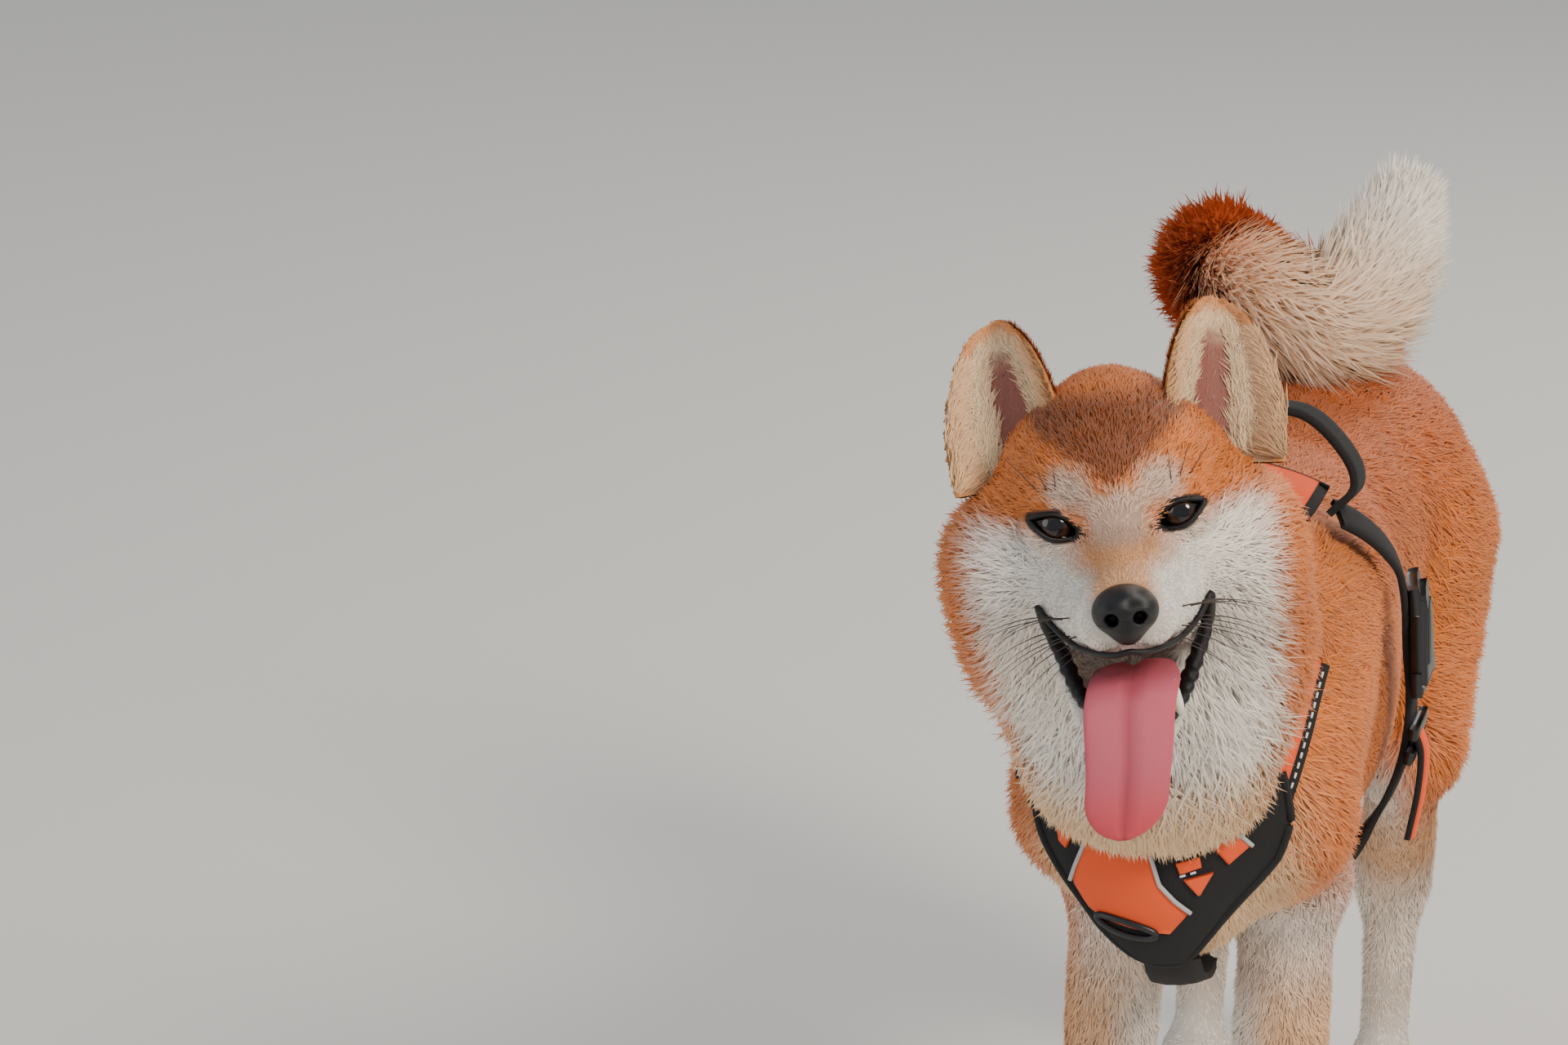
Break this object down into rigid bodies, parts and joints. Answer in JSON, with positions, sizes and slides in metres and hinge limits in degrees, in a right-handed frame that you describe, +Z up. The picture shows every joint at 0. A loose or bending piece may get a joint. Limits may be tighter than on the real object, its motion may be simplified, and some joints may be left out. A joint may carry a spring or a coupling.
{
  "type": "shiba inu",
  "caption": "Life-size still model of a standing red shiba inu with a curled bushy tail, open mouth and hanging tongue, wearing a walking harness in orange and black.",
  "frame": {"origin": "on the floor, under the middle of the whole dog", "axes": "+Z up, -Y the way the dog faces, +X to the left side of the dog"},
  "size_m": [0.196, 0.6018, 0.4959],
  "materials": {
    "coat_red": "dense soft red coat, slightly glossy outer hair",
    "coat_cream": "cream and white under coat",
    "nose_leather": "moist black nose skin",
    "eyes": "wet dark brown eyes",
    "tongue": "moist pink",
    "harness_black": "woven black webbing and padded mesh",
    "harness_orange": "woven orange nylon, faint sheen",
    "harness_plastic": "moulded black plastic"
  },
  "bodies": {
    "root": {"chest": "coat_red", "loin": "coat_red", "hindquarters": "coat_red", "foreleg_left": "coat_cream", "forepaw_left": "coat_cream", "thigh_left": "coat_red", "hind_leg_left": "coat_cream", "hind_paw_left": "coat_cream", "foreleg_right": "coat_cream", "forepaw_right": "coat_cream", "thigh_right": "coat_red", "hind_leg_right": "coat_cream", "hind_paw_right": "coat_cream", "neck": "coat_red", "head": "coat_red", "nose": "nose_leather", "lower_jaw": "coat_cream", "tongue": "tongue", "eye_left": "eyes", "eye_right": "eyes", "ear_left": "coat_red", "ear_right": "coat_red", "tail": "coat_red", "harness_chest_panel": "harness_black", "harness_chest_patch": "harness_orange", "harness_side_patch": "harness_orange", "harness_back_panel": "harness_black", "harness_belly_strap": "harness_black", "harness_handle": "harness_black", "harness_girth_left": "harness_black", "harness_shoulder_left": "harness_orange", "harness_buckle_left": "harness_plastic", "harness_adjuster_left": "harness_plastic", "harness_girth_right": "harness_black", "harness_shoulder_right": "harness_orange", "harness_buckle_right": "harness_plastic", "harness_adjuster_right": "harness_plastic", "harness_strap_end": "harness_orange"}
  },
  "joints": []
}
